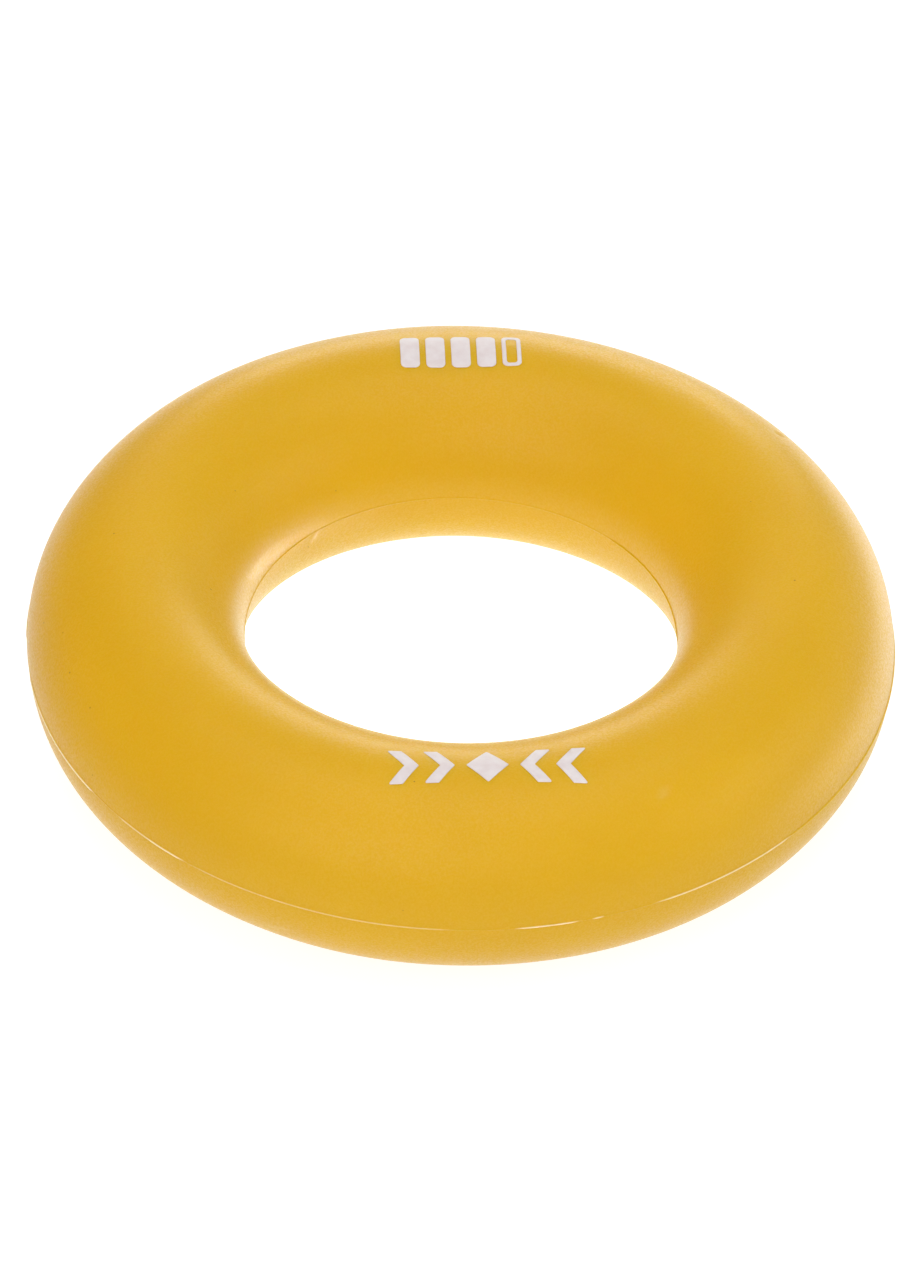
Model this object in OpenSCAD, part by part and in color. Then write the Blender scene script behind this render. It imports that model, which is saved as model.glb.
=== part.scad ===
// Hand grip ring: a solid silicone ring that is squeezed in the fist.
// Two prints of white silicone ink lie on its crown: a scale of bars at the back and a squeeze mark
// at the front. The ring lies flat, its axis is Z, and the origin is the middle of the circle it rests on.

/* [Ring] */
// Diameter of the circle that the middle of the grip follows
pitch_diameter = 60; // [52:1:70]
// Thickness of the grip, which has a round section
grip_thickness = 20; // [16:1:24]

/* [Parting line] */
// How far the trimmed flash stands proud, outside and inside the ring
flash_height = 0.12; // [0.05:0.01:0.3]
// Thickness of the flash where it leaves the ring
flash_root = 0.18; // [0.1:0.01:0.4]
// Thickness of the flash at its trimmed edge
flash_edge = 0.08; // [0.04:0.01:0.1]

/* [Prints] */
// Thickness of the cured ink
ink_thickness = 0.05; // [0.03:0.01:0.1]
// How far both prints lie to the right of the ring's middle
print_shift = 1; // [0:0.1:2]
// How far the scale lies inside the ring's highest circle
scale_inset = 0.25; // [0:0.05:1]
// How far the squeeze mark lies inside the ring's highest circle
mark_inset = 0.8; // [0:0.05:1]
// Height of both prints, seen from above
print_height = 4.4; // [3:0.1:6]

/* [Resistance scale] */
// Number of bars in the scale
bar_count = 5; // [3:1:6]
// Number of bars that are solid; the others are outlines
bars_filled = 4; // [1:1:6]
// Width of one bar
bar_width = 1.8; // [1.6:0.1:2]
// Distance from one bar to the next
bar_pitch = 2.4; // [2.2:0.1:2.6]
// Width of the line around an outlined bar
outline_width = 0.4; // [0.3:0.05:0.5]
// Corner radius of a bar
bar_corner = 0.5; // [0.3:0.05:0.5]

/* [Squeeze mark] */
// Chevrons on each side of the middle
chevrons_per_side = 2; // [1:1:3]
// How far a chevron's tip stands ahead of its arms
chevron_point = 1.5; // [1:0.1:2]
// Width of a chevron's arms, along the mark
chevron_stroke = 1.3; // [0.8:0.1:1.6]
// Distance from one chevron to the next
chevron_pitch = 3.2; // [2.4:0.1:3.4]
// Width of the diamond in the middle
diamond_width = 3.8; // [3:0.1:4.4]
// Gap between the diamond and the nearest chevrons
diamond_gap = 1; // [0.5:0.1:1.2]

/* [Hidden] */
$fn = 180;
pitch_radius = pitch_diameter / 2;
grip_radius = grip_thickness / 2;
// The flash is rooted this far inside the grip, so that it joins the round section everywhere
flash_overlap = 0.2;
// Bars and chevrons are numbered from the left
bar_numbers = [1:bar_count];
chevron_numbers = [1:2 * chevrons_per_side];

// A plain ring of round section that rests on z = 0, with its section grown by more on every side
module round_ring(more = 0) {
    rotate_extrude()
        translate([pitch_radius, grip_radius])
            circle(r = grip_radius + more);
}

// The flash's section, pointing along +X from the grip's widest point
module flash_section() {
    polygon([
        [-flash_overlap, -flash_root / 2],
        [flash_height, -flash_edge / 2],
        [flash_height, flash_edge / 2],
        [-flash_overlap, flash_root / 2]
    ]);
}

// The moulding in one piece: the grip with the flash of both parting lines.
// The circle starts at 45 degrees, between the two places where the flash crosses it.
module ring_body() {
    color("goldenrod")
        rotate_extrude() {
            translate([pitch_radius, grip_radius])
                rotate(45)
                    circle(r = grip_radius);
            translate([pitch_radius + grip_radius, grip_radius])
                flash_section();
            translate([pitch_radius - grip_radius, grip_radius])
                rotate(180)
                    flash_section();
        }
}

// A film of ink on the ring's upper side, with the outline of the 2D shape that is given
module ink_film() {
    color("white")
        difference() {
            intersection() {
                translate([0, 0, grip_radius])
                    linear_extrude(height = grip_thickness)
                        children();
                round_ring(ink_thickness);
            }
            round_ring();
        }
}

// A rectangle round its own middle, with round corners
module rounded_bar(width, height, corner) {
    square([width - 2 * corner, height], center = true);
    square([width, height - 2 * corner], center = true);
    for (side = [-1, 1], end = [-1, 1])
        translate([side * (width / 2 - corner), end * (height / 2 - corner)])
            circle(r = corner);
}

// One bar of the resistance scale, counted from the left
module scale_bar(number) {
    middle = (number - (bar_count + 1) / 2) * bar_pitch;
    ink_film()
        translate([print_shift + middle, pitch_radius - scale_inset])
            difference() {
                rounded_bar(bar_width, print_height, bar_corner);
                if (number > bars_filled)
                    rounded_bar(
                        bar_width - 2 * outline_width,
                        print_height - 2 * outline_width,
                        bar_corner - outline_width / 2
                    );
            }
}

// A chevron's outline, with its tip at the origin and pointing along +X
module chevron_outline() {
    half = print_height / 2;
    polygon([
        [0, 0],
        [-chevron_point, half],
        [-chevron_point - chevron_stroke, half],
        [-chevron_stroke, 0],
        [-chevron_point - chevron_stroke, -half],
        [-chevron_point, -half]
    ]);
}

// One chevron of the squeeze mark, counted from the left, pointing at the mark's middle
module squeeze_chevron(number) {
    on_left = number <= chevrons_per_side;
    steps_out = on_left ? chevrons_per_side - number : number - chevrons_per_side - 1;
    tip = diamond_width / 2 + diamond_gap + steps_out * chevron_pitch;
    ink_film()
        translate([print_shift, mark_inset - pitch_radius])
            mirror([on_left ? 0 : 1, 0])
                translate([-tip, 0])
                    chevron_outline();
}

// The diamond in the middle of the squeeze mark
module squeeze_diamond() {
    ink_film()
        translate([print_shift, mark_inset - pitch_radius])
            polygon([
                [-diamond_width / 2, 0],
                [0, -print_height / 2],
                [diamond_width / 2, 0],
                [0, print_height / 2]
            ]);
}

ring_body();
squeeze_diamond();
for (number = bar_numbers)
    scale_bar(number);
for (number = chevron_numbers)
    squeeze_chevron(number);
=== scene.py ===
"""Hand grip ring: a solid silicone ring of round section with two white prints, on a pale floor."""

import math
from dataclasses import dataclass

import bpy
from mathutils import Matrix, Vector, noise
from mathutils.geometry import delaunay_2d_cdt


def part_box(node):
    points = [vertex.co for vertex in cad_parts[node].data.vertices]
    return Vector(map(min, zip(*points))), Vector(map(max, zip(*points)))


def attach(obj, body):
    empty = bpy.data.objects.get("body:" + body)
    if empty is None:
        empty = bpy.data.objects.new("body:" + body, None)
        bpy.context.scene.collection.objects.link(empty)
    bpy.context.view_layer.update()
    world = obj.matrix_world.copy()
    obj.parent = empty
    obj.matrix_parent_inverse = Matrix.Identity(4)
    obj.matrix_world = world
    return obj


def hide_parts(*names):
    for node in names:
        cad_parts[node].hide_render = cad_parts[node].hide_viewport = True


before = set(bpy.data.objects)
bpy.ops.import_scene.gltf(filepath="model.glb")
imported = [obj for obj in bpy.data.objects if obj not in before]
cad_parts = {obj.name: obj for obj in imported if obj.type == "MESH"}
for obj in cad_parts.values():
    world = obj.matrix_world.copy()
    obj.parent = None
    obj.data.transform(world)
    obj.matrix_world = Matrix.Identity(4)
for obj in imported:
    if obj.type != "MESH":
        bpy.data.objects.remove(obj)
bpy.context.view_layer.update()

# ---------------------------------------------------------------- sizes, in metres

MM = 0.001

# The trimmed flash of the parting lines, as in part.scad
FLASH_HEIGHT = 0.12 * MM
FLASH_ROOT = 0.18 * MM
FLASH_EDGE = 0.08 * MM
INK_THICKNESS = 0.05 * MM

ring_low, ring_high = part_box("ring_body")
GRIP_RADIUS = (ring_high.z - ring_low.z) / 2
PITCH_RADIUS = ring_high.x - FLASH_HEIGHT - GRIP_RADIUS
CENTRE = Vector((0, 0, GRIP_RADIUS))

# The ring's mesh: steps round its axis and round its section
RING_STEPS = 640
SECTION_STEPS = 136


# ---------------------------------------------------------------- the ring's surface


def smooth_step(low, high, value):
    """0 below low, 1 above high, and an S-curve between them."""
    share = min(max((value - low) / (high - low), 0), 1)
    return share * share * (3 - 2 * share)


def turned(turn):
    """The unit vector at an angle round the ring's axis, from +X towards +Y."""
    return Vector((math.cos(turn), math.sin(turn), 0))


def waviness(turn, tilt):
    """The moulding's slow departures from a true ring."""
    size = 0.03 * MM
    waves = 2.2
    outward = waves + 0.5 * math.cos(tilt)
    upward = 0.5 * waves * math.sin(tilt)
    return size * noise.noise(turned(turn) * outward + Vector((0, 0, upward)))


@dataclass
class Mark:
    """A small mark in the surface: a bump, a dent or a paler scuff.

    Its angles are in degrees. Its length runs along the slant, from 0 round the ring to 90 up it.
    """

    turn: float
    tilt: float
    length: float
    width: float
    slant: float
    height: float
    pale: float

    def share(self, turn, tilt):
        """1 in the middle of the mark, falling to 0 outside it."""
        far = 3 * self.length
        radius = PITCH_RADIUS + GRIP_RADIUS * math.cos(tilt)
        around = math.remainder(turn - math.radians(self.turn), math.tau) * radius
        if abs(around) > far:
            return 0.0
        upward = math.remainder(tilt - math.radians(self.tilt), math.tau) * GRIP_RADIUS
        if abs(upward) > far:
            return 0.0
        slant = math.radians(self.slant)
        along = around * math.cos(slant) + upward * math.sin(slant)
        across = upward * math.cos(slant) - around * math.sin(slant)
        return math.exp(-(along / self.length) ** 2 - (across / self.width) ** 2)


MARKS = [
    # The torn tag where the flash was cut inside the hole
    Mark(130.8, 183.0, 0.55 * MM, 0.16 * MM, 50, 0.10 * MM, 0.35),
    # A nick on the shoulder and two small dents
    Mark(32.3, 52.4, 0.60 * MM, 0.34 * MM, 70, -0.20 * MM, 0.0),
    Mark(118.0, 60.0, 0.40 * MM, 0.30 * MM, 10, -0.05 * MM, 0.0),
    Mark(78.0, -35.0, 0.50 * MM, 0.30 * MM, 30, -0.06 * MM, 0.1),
    # Scuffs
    Mark(297.9, 56.6, 0.60 * MM, 0.35 * MM, 20, -0.01 * MM, 0.07),
    Mark(243.2, -25.0, 0.90 * MM, 0.20 * MM, 12, -0.01 * MM, 0.22),
    Mark(20.0, 22.0, 1.10 * MM, 0.22 * MM, 35, -0.01 * MM, 0.12),
    Mark(152.0, -18.0, 0.90 * MM, 0.20 * MM, -25, -0.01 * MM, 0.15),
]


def ring_point(turn, tilt, out=0.0):
    """A point on the ring's surface, or some way out from it.

    Tilt is the angle round the section: 0 at the outer equator and a quarter turn at the top.
    """
    marked = sum(mark.height * mark.share(turn, tilt) for mark in MARKS)
    reach = GRIP_RADIUS + waviness(turn, tilt) + marked + out
    level = turned(turn) * (PITCH_RADIUS + reach * math.cos(tilt))
    return level + Vector((0, 0, GRIP_RADIUS + reach * math.sin(tilt)))


def crown_point(x, y, out=0.0):
    """The point of the ring's upper side at a place in plan."""
    reach = math.hypot(x, y) - PITCH_RADIUS
    return ring_point(math.atan2(y, x), math.acos(reach / GRIP_RADIUS), out)


# ---------------------------------------------------------------- the parting lines


@dataclass
class Stretch:
    """A stretch of a parting line where the trimmed flash stands prouder, or is painted paler as a
    painted highlight for its glint.

    It runs from start to end in degrees round the ring, and fades out over so many degrees at each end.
    """

    start: float
    end: float
    height: float
    # How strongly the flash's edge is painted pale, a painted highlight for its glint
    pale: float = 0.0
    fade: float = 2.0

    def share(self, degrees):
        """1 well inside the stretch, falling to 0 at its ends."""
        away = (degrees - self.start) % 360
        length = self.end - self.start
        return smooth_step(0, self.fade, min(away, length - away))


# The fourth number of each stretch is how strongly a painted highlight pales the flash's edge there
OUTER_STRETCHES = [
    Stretch(187, 212, 0.12 * MM, 1.0, 1.0),
    Stretch(217.4, 224, 0.10 * MM, 0.55, 1.0),
    Stretch(222, 230, 0.12 * MM, 0.9, 2.0),
    Stretch(229, 268, 0.07 * MM, 0.3, 5.0),
    Stretch(274.5, 283.2, 0.09 * MM, 0.75, 1.5),
    Stretch(284.6, 286.0, 0.09 * MM, 0.6, 0.3),
    Stretch(293, 316, 0.10 * MM, 0.7, 2.5),
    Stretch(314, 371, 0.12 * MM, 0.0, 4.0),
    Stretch(20, 58, 0.08 * MM, 0.5, 3.0),
    Stretch(64, 92, 0.10 * MM, 0.8, 1.0),
    Stretch(101, 150, 0.08 * MM, 0.4, 5.0),
    Stretch(155, 180, 0.11 * MM, 0.7, 1.5),
]
INNER_STRETCHES = [
    Stretch(131, 200, 0.075 * MM, 0.0, 6.0),
    Stretch(98, 128, 0.04 * MM, 0.04, 6.0),
    Stretch(-5, 45, 0.10 * MM, 0.0, 5.0),
    Stretch(215, 262, 0.09 * MM, 0.4, 5.0),
    Stretch(270, 335, 0.08 * MM, 0.25, 6.0),
]
LEAST_FLASH = 0.03 * MM


def flash_height(degrees, stretches):
    """How far the flash stands proud at an angle round the ring."""
    ragged = 0.012 * MM * noise.noise(Vector((degrees * 1.7, 0, 0)))
    proud = max((stretch.height - LEAST_FLASH) * stretch.share(degrees) for stretch in stretches)
    return min(LEAST_FLASH + ragged + proud, FLASH_HEIGHT)


def flash_painted_glint(degrees, stretches):
    """How strongly the trimmed edge of the flash is painted pale at an angle round the ring: a painted
    highlight for its glint.
    """
    broken = 0.85 + 0.3 * noise.noise(Vector((degrees * 0.9, 7.0, 0)))
    return min(1.0, broken * max(stretch.pale * stretch.share(degrees) for stretch in stretches))


def section_rows():
    """Rows round the section as (tilt, flash).

    Flash is "outer" or "inner" on the edge of that parting line's flash, and "" elsewhere.
    """
    rows = []
    half = SECTION_STEPS // 2
    for equator, flash in ((0.0, "outer"), (math.pi, "inner")):
        for offset, edge in (
            (-FLASH_ROOT, ""), (-FLASH_ROOT / 2, ""), (-FLASH_EDGE / 2, flash), (0, flash),
            (FLASH_EDGE / 2, flash), (FLASH_ROOT / 2, ""), (FLASH_ROOT, ""),
        ):
            rows.append((equator + offset / GRIP_RADIUS, edge))
        for step in range(1, half):
            rows.append((equator + math.pi * step / half, ""))
    return rows


# ---------------------------------------------------------------- meshes


def new_piece(name, vertices, faces, material):
    """A mesh object that rides on the frame's one body."""
    mesh = bpy.data.meshes.new(name)
    mesh.from_pydata(vertices, [], faces)
    mesh.materials.append(material)
    mesh.polygons.foreach_set("use_smooth", [True] * len(mesh.polygons))
    mesh.update()
    piece = bpy.data.objects.new(name, mesh)
    bpy.context.scene.collection.objects.link(piece)
    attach(piece, "root")
    return piece


def ring_body(material):
    """The moulding: a fine ring with its marks and the trimmed flash of both parting lines."""
    rows = section_rows()
    vertices = []
    scuffs_and_painted_glint = []
    for step in range(RING_STEPS):
        turn = math.tau * step / RING_STEPS
        degrees = math.degrees(turn)
        heights = {"": 0.0}
        pale = {"": 0.0}
        for flash, stretches in (("outer", OUTER_STRETCHES), ("inner", INNER_STRETCHES)):
            heights[flash] = flash_height(degrees, stretches)
            # The flash's pale edge is a painted highlight for the glint of light along it
            pale[flash] = flash_painted_glint(degrees, stretches)
        for tilt, flash in rows:
            vertices.append(ring_point(turn, tilt, heights[flash]))
            scuffed = max(mark.pale * mark.share(turn, tilt) for mark in MARKS)
            # Pale from the marks' scuffs and from the flash's painted highlight
            scuffs_and_painted_glint.append(max(pale[flash], scuffed))
    count = len(rows)
    faces = []
    for step in range(RING_STEPS):
        here = step * count
        ahead = (step + 1) % RING_STEPS * count
        for row in range(count):
            above = (row + 1) % count
            faces.append((here + row, ahead + row, ahead + above, here + above))
    piece = new_piece("silicone_ring", vertices, faces, material)
    piece.data.attributes.new("scuffs_and_painted_glint", "FLOAT", "POINT").data.foreach_set("value", scuffs_and_painted_glint)
    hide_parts("ring_body")


def rounded_outline(corners, radius):
    """The points round a counter-clockwise polygon, rounded at its corners and in short steps."""
    arc_steps = 5
    longest_step = 0.3
    points = []
    count = len(corners)
    for index, corner in enumerate(corners):
        back = (corners[index - 1] - corner).normalized()
        ahead = (corners[(index + 1) % count] - corner).normalized()
        half_angle = back.angle(ahead) / 2
        middle = corner + (back + ahead).normalized() * radius / math.sin(half_angle)
        reach = radius / math.tan(half_angle)
        first = corner + back * reach - middle
        last = corner + ahead * reach - middle
        for step in range(arc_steps + 1):
            points.append(middle + first.lerp(last, step / arc_steps).normalized() * radius)
    outline = []
    for index, point in enumerate(points):
        following = points[(index + 1) % len(points)]
        parts = max(1, math.ceil((following - point).length / longest_step))
        outline += [point.lerp(following, part / parts) for part in range(parts)]
    return outline


def inset(outline, distance):
    """The outline moved to its left, which is into the ink."""
    moved = []
    count = len(outline)
    for index, point in enumerate(outline):
        along = (outline[(index + 1) % count] - outline[index - 1]).normalized()
        moved.append(point + Vector((-along.y, along.x)) * distance)
    return moved


def is_inside(point, outlines):
    """Whether a place in plan lies inside an odd number of the outlines."""
    crossings = 0
    for outline in outlines:
        for index, end in enumerate(outline):
            start = outline[index - 1]
            if (start.y > point.y) != (end.y > point.y):
                across = start.x + (end.x - start.x) * (point.y - start.y) / (end.y - start.y)
                crossings += point.x < across
    return crossings % 2 == 1


def inner_points(rim, bounds):
    """Points on a square grid inside the rim's loops, clear of the loops themselves."""
    grid = 0.35
    left, right = min(p.x for p in bounds), max(p.x for p in bounds)
    bottom, top = min(p.y for p in bounds), max(p.y for p in bounds)
    points = []
    for column in range(1, math.ceil((right - left) / grid)):
        for row in range(1, math.ceil((top - bottom) / grid)):
            point = Vector((left + column * grid, bottom + row * grid))
            clear = all((point - other).length > grid / 2 for other in bounds)
            if clear and is_inside(point, rim):
                points.append(point)
    return points


def filled(rim):
    """The places and the triangles that fill the space between the rim's loops."""
    bounds = [point for loop in rim for point in loop]
    borders = []
    for loop in rim:
        first = len(borders)
        borders += [(first + index, first + (index + 1) % len(loop)) for index in range(len(loop))]
    whole_hull = 0
    merged_below = 1e-6
    points = bounds + inner_points(rim, bounds)
    found = delaunay_2d_cdt(points, borders, [], whole_hull, merged_below)
    places, triangles = found[0], found[2]
    kept = []
    for triangle in triangles:
        middle = sum((places[corner] for corner in triangle), Vector((0, 0))) / len(triangle)
        if is_inside(middle, rim):
            kept.append(tuple(triangle))
    return places, kept


def ink_film(name, outlines, material):
    """A closed film of ink on the crown, with rounded edges.

    Its outlines are in millimetres in plan. Those of its holes run clockwise.
    """
    thickness = INK_THICKNESS / MM
    sunk = -0.01
    # How far in from the outline, and how high above the ring, each loop of the edge lies
    edge = [(0.07, sunk), (0, sunk), (0, 0.45 * thickness), (0.02, 0.8 * thickness), (0.07, thickness)]
    places, triangles = filled([inset(outline, edge[-1][0]) for outline in outlines])
    vertices = [crown_point(p.x * MM, p.y * MM, thickness * MM) for p in places]
    vertices += [crown_point(p.x * MM, p.y * MM, sunk * MM) for p in places]
    under = len(places)
    faces = list(triangles)
    faces += [tuple(under + corner for corner in reversed(triangle)) for triangle in triangles]
    first = 0
    for outline in outlines:
        count = len(outline)
        loops = [[under + first + index for index in range(count)]]
        for distance, height in edge[1:-1]:
            loops.append(list(range(len(vertices), len(vertices) + count)))
            vertices += [crown_point(p.x * MM, p.y * MM, height * MM) for p in inset(outline, distance)]
        loops.append([first + index for index in range(count)])
        for lower, upper in zip(loops, loops[1:]):
            for index in range(count):
                after = (index + 1) % count
                faces.append((lower[index], lower[after], upper[after], upper[index]))
        first += count
    piece = new_piece(name, vertices, faces, material)
    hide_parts(name)


def plan_box(node):
    """The middle, width and height of a CAD node in plan, in millimetres."""
    low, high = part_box(node)
    middle = (low + high) / 2 / MM
    return Vector((middle.x, middle.y)), (high.x - low.x) / MM, (high.y - low.y) / MM


def bar_outline(middle, width, height, radius):
    """A rectangle with rounded corners."""
    corners = [(-1, -1), (1, -1), (1, 1), (-1, 1)]
    places = [middle + Vector((x * width / 2, y * height / 2)) for x, y in corners]
    return rounded_outline(places, radius)


def resistance_scale(material):
    """Four solid bars and one outlined one. Sizes are in millimetres."""
    bars = 5
    corner = 0.5
    line = 0.4
    for number in range(1, bars + 1):
        node = f"scale_bar_{number}"
        middle, width, height = plan_box(node)
        outlines = [bar_outline(middle, width, height, corner)]
        if number == bars:
            hole = bar_outline(middle, width - 2 * line, height - 2 * line, corner - line / 2)
            outlines.append(hole[::-1])
        ink_film(node, outlines, material)


def squeeze_mark(material):
    """Two chevrons on each side that point at a diamond. Sizes are in millimetres."""
    chevrons = 4
    stroke = 1.3
    corner = 0.12
    for number in range(1, chevrons + 1):
        node = f"squeeze_chevron_{number}"
        middle, width, height = plan_box(node)
        side = 1 if number <= chevrons / 2 else -1
        tip = width / 2
        arm = tip - (width - stroke)
        corners = [
            (tip, 0), (arm, height / 2), (arm - stroke, height / 2),
            (tip - stroke, 0), (arm - stroke, -height / 2), (arm, -height / 2),
        ]
        outline = rounded_outline([middle + Vector((side * x, y)) for x, y in corners][::side], corner)
        ink_film(node, [outline], material)
    middle, width, height = plan_box("squeeze_diamond")
    corners = [(width / 2, 0), (0, height / 2), (-width / 2, 0), (0, -height / 2)]
    outline = rounded_outline([middle + Vector(corner_place) for corner_place in corners], corner)
    ink_film("squeeze_diamond", [outline], material)


# ---------------------------------------------------------------- materials


class Shader:
    """A node material that is built up from a Principled shader."""

    def __init__(self, name):
        self.material = bpy.data.materials.new(name)
        self.material.use_nodes = True
        self.nodes = self.material.node_tree.nodes
        self.links = self.material.node_tree.links
        self.surface = self.nodes["Principled BSDF"]
        self.place = self.nodes.new("ShaderNodeTexCoord").outputs["Object"]

    def set(self, **values):
        """Values for the Principled shader's own inputs, with _ for a space."""
        for name, value in values.items():
            self.surface.inputs[name.replace("_", " ")].default_value = value

    def noise(self, scale, detail, roughness=0.5):
        """Smooth noise from 0 to 1, with so many waves to a metre."""
        node = self.nodes.new("ShaderNodeTexNoise")
        node.inputs["Scale"].default_value = scale
        node.inputs["Detail"].default_value = detail
        node.inputs["Roughness"].default_value = roughness
        self.links.new(self.place, node.inputs["Vector"])
        return node.outputs["Fac"]

    def painted(self, name):
        """A number that the mesh carries at its vertices."""
        node = self.nodes.new("ShaderNodeAttribute")
        node.attribute_name = name
        return node.outputs["Fac"]

    def cells(self, scale):
        """The distance from the middle of the nearest cell, with so many cells to a metre."""
        node = self.nodes.new("ShaderNodeTexVoronoi")
        node.inputs["Scale"].default_value = scale
        self.links.new(self.place, node.inputs["Vector"])
        return node.outputs["Distance"]

    def ramp(self, value, low, high, at_low, at_high):
        """A straight ramp from one number at low to another at high, level beyond them."""
        node = self.nodes.new("ShaderNodeMapRange")
        node.inputs["From Min"].default_value = low
        node.inputs["From Max"].default_value = high
        node.inputs["To Min"].default_value = at_low
        node.inputs["To Max"].default_value = at_high
        self.links.new(value, node.inputs["Value"])
        return node.outputs["Result"]

    def across_and_reach(self):
        """How far to the right a place is, and how far from the origin."""
        parts = self.nodes.new("ShaderNodeSeparateXYZ")
        length = self.nodes.new("ShaderNodeVectorMath")
        length.operation = "LENGTH"
        self.links.new(self.place, parts.inputs["Vector"])
        self.links.new(self.place, length.inputs[0])
        return parts.outputs["X"], length.outputs["Value"]

    def mix(self, share, first, second):
        """A number between a constant and a node's number."""
        node = self.nodes.new("ShaderNodeMix")
        # A Mix node's numbers are its inputs 2 and 3, and its output 0
        self.links.new(share, node.inputs[0])
        node.inputs[2].default_value = first
        self.links.new(second, node.inputs[3])
        return node.outputs[0]

    def blend(self, share, first, second):
        """A colour between two colours. Each of the three is a constant or comes from a node."""
        node = self.nodes.new("ShaderNodeMix")
        node.data_type = "RGBA"
        # A Mix node's colours are its inputs 6 and 7, and its output 2
        for socket, value in ((node.inputs[0], share), (node.inputs[6], first), (node.inputs[7], second)):
            if isinstance(value, bpy.types.NodeSocket):
                self.links.new(value, socket)
            else:
                socket.default_value = value
        return node.outputs[2]

    def bump(self, height, distance, strength, under=None):
        """Relief of a depth in metres, on top of the relief under it."""
        node = self.nodes.new("ShaderNodeBump")
        node.inputs["Distance"].default_value = distance
        node.inputs["Strength"].default_value = strength
        self.links.new(height, node.inputs["Height"])
        if under is not None:
            self.links.new(under, node.inputs["Normal"])
        return node.outputs["Normal"]

    def feed(self, value, socket):
        """Links a node's value to one of the Principled shader's inputs."""
        self.links.new(value, self.surface.inputs[socket])


def linear(red, green, blue):
    """A colour given in screen values from 0 to 255, as the renderer's linear values."""
    def channel(value):
        share = value / 255
        return share / 12.92 if share <= 0.04045 else ((share + 0.055) / 1.055) ** 2.4
    return (channel(red), channel(green), channel(blue), 1.0)


# The silicone's colours, as the renderer's linear values
LIGHT_AMBER = (0.640, 0.364, 0.003, 1)
DEEP_AMBER = (0.620, 0.350, 0.003, 1)
# Painted highlight on the grain's heights and painted shade in its hollows
PAINTED_GRAIN_HIGHLIGHT = (0.84, 0.56, 0.10, 1)
PAINTED_GRAIN_SHADE = (0.42, 0.22, 0.002, 1)
DUST = (0.20, 0.11, 0.01, 1)
# Pale for worn scuffs, and for the painted highlight along the flash's trimmed edge
SCUFF_AND_GLINT = (1.0, 0.88, 0.66, 1)


def silicone():
    """Amber silicone rubber from a fine-blasted mould."""
    shader = Shader("amber_silicone")
    cloudy = shader.ramp(shader.noise(60, 3), 0.35, 0.65, 0, 1)
    amber = shader.blend(cloudy, LIGHT_AMBER, DEEP_AMBER)
    # Fine grain: a painted highlight on its heights and painted shade in its hollows, following its
    # relief
    grain = shader.noise(4500, 3, 0.7)
    amber = shader.blend(shader.ramp(grain, 0.48, 0.68, 0, 0.04), amber, PAINTED_GRAIN_HIGHLIGHT)
    amber = shader.blend(shader.ramp(grain, 0.34, 0.50, 0.03, 0), amber, PAINTED_GRAIN_SHADE)
    # A few specks of dust that were moulded in
    speck = shader.ramp(shader.cells(300), 0.018, 0.034, 0.7, 0)
    amber = shader.blend(speck, amber, DUST)
    # Paler where the mesh says: worn scuffs, and a painted highlight along the flash's trimmed edge
    amber = shader.blend(shader.painted("scuffs_and_painted_glint"), amber, SCUFF_AND_GLINT)
    shader.feed(amber, "Base Color")
    shader.feed(shader.ramp(grain, 0.40, 0.60, 0.68, 0.48), "Roughness")
    # The gloss breaks up into grains
    shader.feed(shader.ramp(grain, 0.38, 0.62, 0.18, 0.72), "Coat Weight")
    pits = shader.ramp(shader.cells(1300), 0.0, 0.22, 0, 1)
    for socket, pit_depth, grain_depth in (("Normal", 0.010, 0.015), ("Coat Normal", 0.012, 0.030)):
        grainy = shader.bump(grain, grain_depth * MM, 0.8)
        shader.feed(shader.bump(pits, pit_depth * MM, 0.5, grainy), socket)
    shader.set(
        IOR=1.3,
        Coat_Roughness=0.28,
        Coat_IOR=1.25,
        Subsurface_Weight=0.35,
        Subsurface_Radius=(1.0, 0.45, 0.06),
        Subsurface_Scale=3 * MM,
        Sheen_Weight=0.17,
        Sheen_Roughness=0.3,
    )
    return shader.material


def ink():
    """White silicone ink, printed thin enough for a little of the amber to warm it."""
    shader = Shader("white_ink")
    thinner = shader.ramp(shader.noise(900, 4), 0.35, 0.65, 0, 1)
    shader.feed(shader.blend(thinner, linear(214, 208, 214), linear(207, 197, 203)), "Base Color")
    shader.feed(shader.ramp(shader.noise(1500, 3), 0.3, 0.7, 0.45, 0.6), "Roughness")
    shader.feed(shader.bump(shader.noise(5000, 3), 0.008 * MM, 0.6), "Normal")
    return shader.material


# ---------------------------------------------------------------- camera, floor and light

# The floor's glow inside the ring, from the ring's left edge to the right, and far to the left
HOLE_GLOW = 1.2
RIGHT_GLOW = 0.84
LEFT_GLOW = 0.27
RIGHT_GLOW_FROM = -40 * MM
LEFT_GLOW_UNTIL = -115 * MM


def camera():
    """A long lens, looking down at the ring from the front."""
    azimuth, elevation = math.radians(-3.3), math.radians(40.6)
    distance = 0.7537
    roll = math.radians(1.503)
    pan, tilt = math.radians(0.0044), math.radians(-0.027)
    back = Vector((
        math.sin(azimuth) * math.cos(elevation),
        -math.cos(azimuth) * math.cos(elevation),
        math.sin(elevation),
    ))
    data = bpy.data.cameras.new("camera")
    data.sensor_width = 36
    data.lens = 229.5
    data.clip_start, data.clip_end = 0.01, 20
    lens = bpy.data.objects.new("camera", data)
    bpy.context.scene.collection.objects.link(lens)
    facing = (-back).to_track_quat("-Z", "Y").to_matrix().to_4x4()
    lens.matrix_world = (
        Matrix.Translation(CENTRE + back * distance)
        @ facing
        @ Matrix.Rotation(pan, 4, "Y")
        @ Matrix.Rotation(tilt, 4, "X")
        @ Matrix.Rotation(roll, 4, "Z")
    )
    bpy.context.scene.camera = lens


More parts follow.
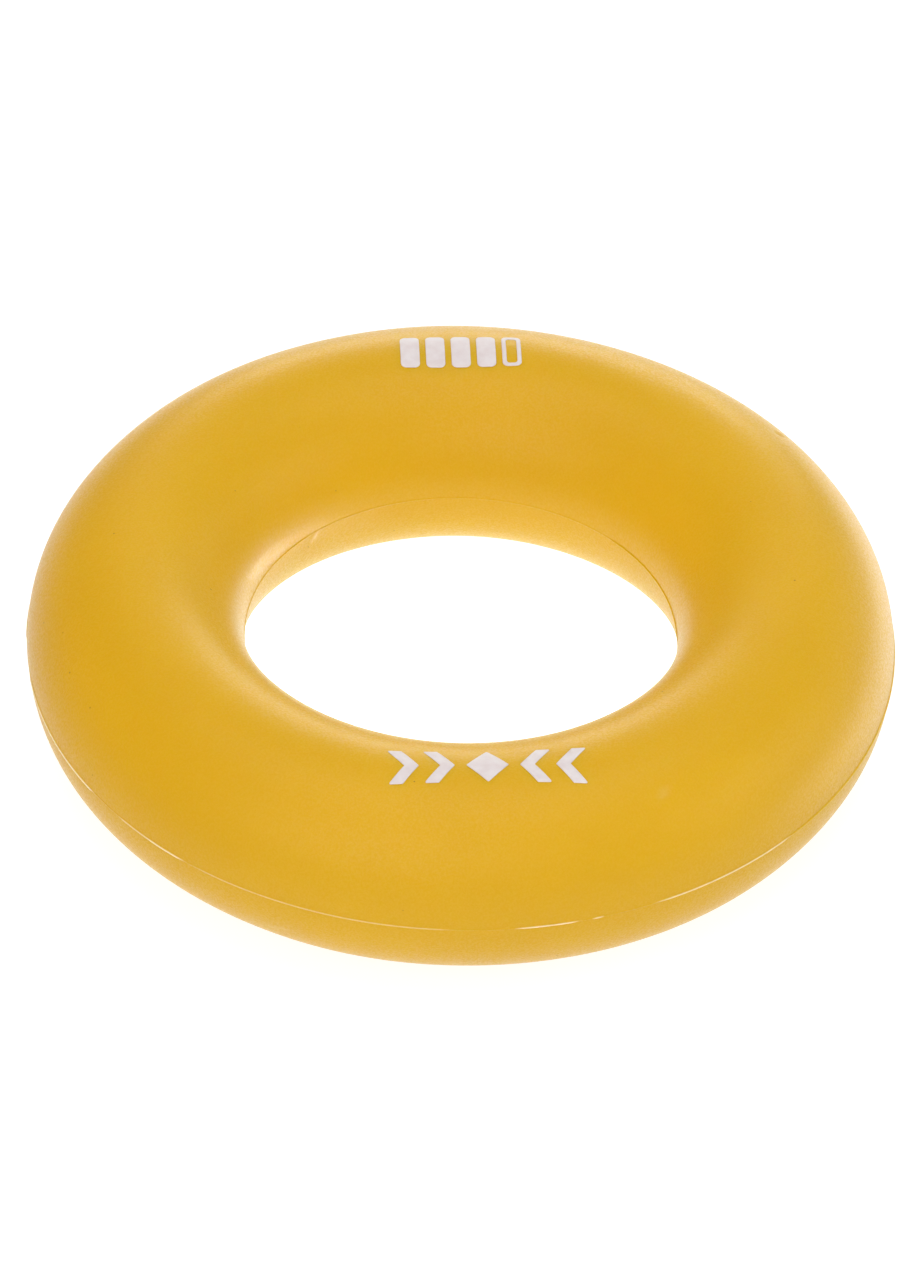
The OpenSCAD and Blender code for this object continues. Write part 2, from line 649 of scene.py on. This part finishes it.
def floor():
    """A pale table that glows, most in the ring's hole and least far to the left."""
    half = 3.0
    corners = [(-half, -half, 0), (half, -half, 0), (half, half, 0), (-half, half, 0)]
    mesh = bpy.data.meshes.new("floor")
    mesh.from_pydata(corners, [], [(0, 1, 2, 3)])
    shader = Shader("floor")
    shader.set(Base_Color=(0.35, 0.35, 0.35, 1), Roughness=0.9, Specular_IOR_Level=0.0)
    across, reach = shader.across_and_reach()
    outside = shader.ramp(across, LEFT_GLOW_UNTIL, RIGHT_GLOW_FROM, LEFT_GLOW, RIGHT_GLOW)
    beyond = shader.ramp(reach, 0.8 * PITCH_RADIUS, PITCH_RADIUS, 0, 1)
    shader.feed(shader.mix(beyond, HOLE_GLOW, outside), "Emission Strength")
    shader.feed(shader.blend(beyond, (0.95, 1.07, 1.0, 1), (1, 1, 1, 1)), "Emission Color")
    mesh.materials.append(shader.material)
    piece = bpy.data.objects.new("floor", mesh)
    bpy.context.scene.collection.objects.link(piece)


@dataclass
class Softbox:
    """A light a metre away that faces the ring.

    Its azimuth is 0 behind the ring and 90 to the right, in degrees. Its glow is its radiance.
    """

    name: str
    azimuth: float
    elevation: float
    width: float
    height: float
    glow: float
    colour: tuple = (1, 1, 1)


SOFTBOXES = [
    Softbox("back", 6, 11, 0.55, 0.35, 5.0, (0.98, 1.0, 0.92)),
    Softbox("back_left", -62, 18, 0.5, 0.4, 2.1, (1.0, 0.53, 0.10)),
    Softbox("back_right", 50, 15, 0.5, 0.5, 0.9),
    Softbox("right", 100, 25, 0.8, 0.5, 2.1, (1.0, 0.99, 0.95)),
    Softbox("left", -100, 25, 0.8, 0.5, 0.1),
    Softbox("front_left", -145, 35, 0.7, 0.8, 2.1, (1.0, 0.95, 0.9)),
    Softbox("front", 180, 35, 0.7, 0.8, 1.45, (1.0, 1.0, 0.92)),
    Softbox("top", 0, 88, 0.9, 0.9, 2.5, (0.99, 0.98, 0.91)),
]


@dataclass
class Card:
    """A lit card close to the ring, which gleams on the rubber and doesn't light it.

    Its middle and its size are in millimetres, its glow is its radiance, and its light spreads over an
    angle in degrees.
    """

    name: str
    middle: tuple
    width: float
    depth: float
    facing: tuple
    glow: float
    spread: float


CARDS = [
    Card("right_card", (80, 30, 1), 60, 130, (0, 0, 1), 1.7, 180),
    Card("back_card", (0, 85, 1), 120, 80, (0, 0, 1), 0.2, 180),
    Card("hole_card", (-1, 15, 1), 9, 3.5, (-0.66, -0.40, 0.5), 4.0, 90),
    Card("hole_floor_card", (-3, 2, 0.6), 28, 28, (0, 0, 1), 0.45, 180),
]


def area_light(name, middle, facing, width, height, glow, colour=(1, 1, 1)):
    """A rectangle of light that the camera doesn't see."""
    data = bpy.data.lights.new(name, "AREA")
    data.shape = "RECTANGLE"
    data.size, data.size_y = width, height
    data.energy = glow * math.pi * width * height
    data.color = colour
    light = bpy.data.objects.new(name, data)
    light.location = middle
    light.rotation_mode = "QUATERNION"
    light.rotation_quaternion = (-facing).to_track_quat("Z", "Y")
    light.visible_camera = False
    bpy.context.scene.collection.objects.link(light)
    return light


def studio():
    """Softboxes round the ring and cards beside it, in a dim white room."""
    for box in SOFTBOXES:
        azimuth, elevation = math.radians(box.azimuth), math.radians(box.elevation)
        away = Vector((
            math.sin(azimuth) * math.cos(elevation),
            math.cos(azimuth) * math.cos(elevation),
            math.sin(elevation),
        ))
        area_light(box.name, CENTRE + away, -away, box.width, box.height, box.glow, box.colour)
    for card in CARDS:
        middle, facing = Vector(card.middle) * MM, Vector(card.facing)
        light = area_light(card.name, middle, facing, card.width * MM, card.depth * MM, card.glow)
        light.data.spread = math.radians(card.spread)
        light.visible_diffuse = False
    world = bpy.data.worlds.new("white_room")
    world.use_nodes = True
    background = world.node_tree.nodes["Background"]
    background.inputs["Color"].default_value = (1, 1, 1, 1)
    background.inputs["Strength"].default_value = 0.15
    bpy.context.scene.world = world
    bpy.context.scene.view_settings.view_transform = "Standard"


camera()
floor()
studio()
ring_body(silicone())
white_ink = ink()
resistance_scale(white_ink)
squeeze_mark(white_ink)
